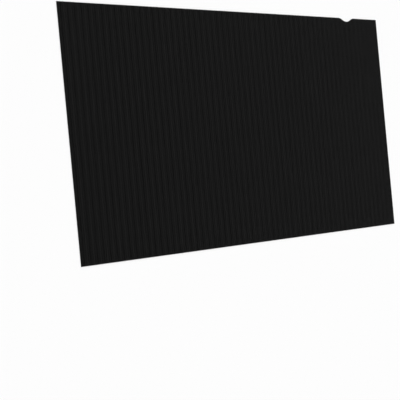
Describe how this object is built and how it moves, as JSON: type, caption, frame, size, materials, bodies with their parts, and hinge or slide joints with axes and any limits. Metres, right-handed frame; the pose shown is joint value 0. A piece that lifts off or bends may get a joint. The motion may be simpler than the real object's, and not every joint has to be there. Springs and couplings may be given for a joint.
{
  "type": "monitor privacy filter",
  "caption": "Thin dark see-through sheet that covers a wide screen so that it reads only from straight ahead, with a thumb notch in its top edge.",
  "frame": {"origin": "middle of the back face, which lies on the surface that the sheet rests on", "axes": "+X along the width, towards the end with the thumb notch; +Y up the height, towards the notched top edge; +Z out of the front face"},
  "size_m": [0.531, 0.299, 0.0005],
  "materials": {
    "louvre_film": "satin"
  },
  "bodies": {
    "root": {"filter_sheet": "louvre_film"}
  },
  "joints": []
}
